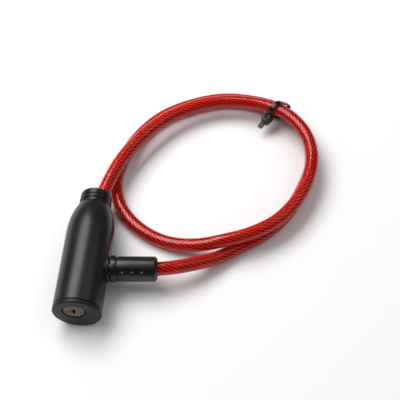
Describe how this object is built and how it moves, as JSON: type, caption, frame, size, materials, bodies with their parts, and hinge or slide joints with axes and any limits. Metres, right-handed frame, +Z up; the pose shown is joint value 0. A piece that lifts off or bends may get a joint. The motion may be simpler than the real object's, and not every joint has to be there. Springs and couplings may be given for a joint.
{
  "type": "cable lock",
  "caption": "Key-operated cable lock: bottle-shaped head, pull-out ferrule with locking pin, jacketed steel cable coiled in a loop and tied.",
  "frame": {"origin": "on the floor under the middle of the head and ferrule, the loop of cable left out", "axes": "+Y runs along the head from its key end to its neck, +X towards the side that the ferrule leaves, +Z up from the floor"},
  "size_m": [0.1447, 0.1718, 0.0281],
  "materials": {
    "shell_plastic": "fine matte texture",
    "sleeve_plastic": "satin",
    "plug_brass": "dull, lightly worn",
    "zinc_casting": "as cast",
    "steel": "turned and plated",
    "spring_steel": "drawn wire",
    "steel_wire": "galvanised strands",
    "red_vinyl": "clear red, glossy",
    "tie_plastic": "satin nylon"
  },
  "bodies": {
    "head": {"outer_shell": "shell_plastic", "end_cap": "shell_plastic", "lock_body": "zinc_casting", "plug_retaining_pin": "steel", "latch_spring": "spring_steel", "cable_anchor": "steel", "anchor_pin": "steel", "shell_pin": "steel", "cable_core": "steel_wire", "cable_jacket": "red_vinyl", "bundle_tie": "tie_plastic"},
    "plug": {"key_plug": "plug_brass", "cam_tail": "zinc_casting", "wafer_spring_1": "spring_steel", "wafer_spring_2": "spring_steel", "wafer_spring_3": "spring_steel", "wafer_spring_4": "spring_steel", "wafer_spring_5": "spring_steel"},
    "tumbler_1": {"wafer_1": "plug_brass"},
    "tumbler_2": {"wafer_2": "plug_brass"},
    "tumbler_3": {"wafer_3": "plug_brass"},
    "tumbler_4": {"wafer_4": "plug_brass"},
    "tumbler_5": {"wafer_5": "plug_brass"},
    "latch": {"latch_plate": "steel"},
    "ferrule": {"ferrule_sleeve": "sleeve_plastic", "locking_pin": "steel", "ferrule_crimp": "steel"}
  },
  "joints": [
    {"name": "ferrule_slide", "type": "slide", "parent": "head", "child": "ferrule", "axis": [0.9969, 0.0785, 0], "range_m": [0, 0.026], "deforming": ["cable_jacket", "cable_core"]},
    {"name": "plug_turn", "type": "hinge", "parent": "head", "child": "plug", "pos_m": [-0.01527, -0.0395, 0.01635], "axis": [0, 1, 0], "range_deg": [0, 90]},
    {"name": "latch_slide", "type": "slide", "parent": "head", "child": "latch", "axis": [0, 0, 1], "range_m": [0, 0.0022], "deforming": ["latch_spring"]},
    {"name": "tumbler_1_slide", "type": "slide", "parent": "plug", "child": "tumbler_1", "axis": [0, 0, 1], "range_m": [-0.001, 0], "stiffness_N_per_m": 20, "deforming": ["wafer_spring_1"]},
    {"name": "tumbler_2_slide", "type": "slide", "parent": "plug", "child": "tumbler_2", "axis": [0, 0, 1], "range_m": [-0.001, 0], "stiffness_N_per_m": 20, "deforming": ["wafer_spring_2"]},
    {"name": "tumbler_3_slide", "type": "slide", "parent": "plug", "child": "tumbler_3", "axis": [0, 0, 1], "range_m": [-0.001, 0], "stiffness_N_per_m": 20, "deforming": ["wafer_spring_3"]},
    {"name": "tumbler_4_slide", "type": "slide", "parent": "plug", "child": "tumbler_4", "axis": [0, 0, 1], "range_m": [-0.001, 0], "stiffness_N_per_m": 20, "deforming": ["wafer_spring_4"]},
    {"name": "tumbler_5_slide", "type": "slide", "parent": "plug", "child": "tumbler_5", "axis": [0, 0, 1], "range_m": [-0.001, 0], "stiffness_N_per_m": 20, "deforming": ["wafer_spring_5"]}
  ],
  "couplings": [
    {"joint": "latch_slide", "follows": "plug_turn", "m_per_rad": 0.0014006}
  ]
}
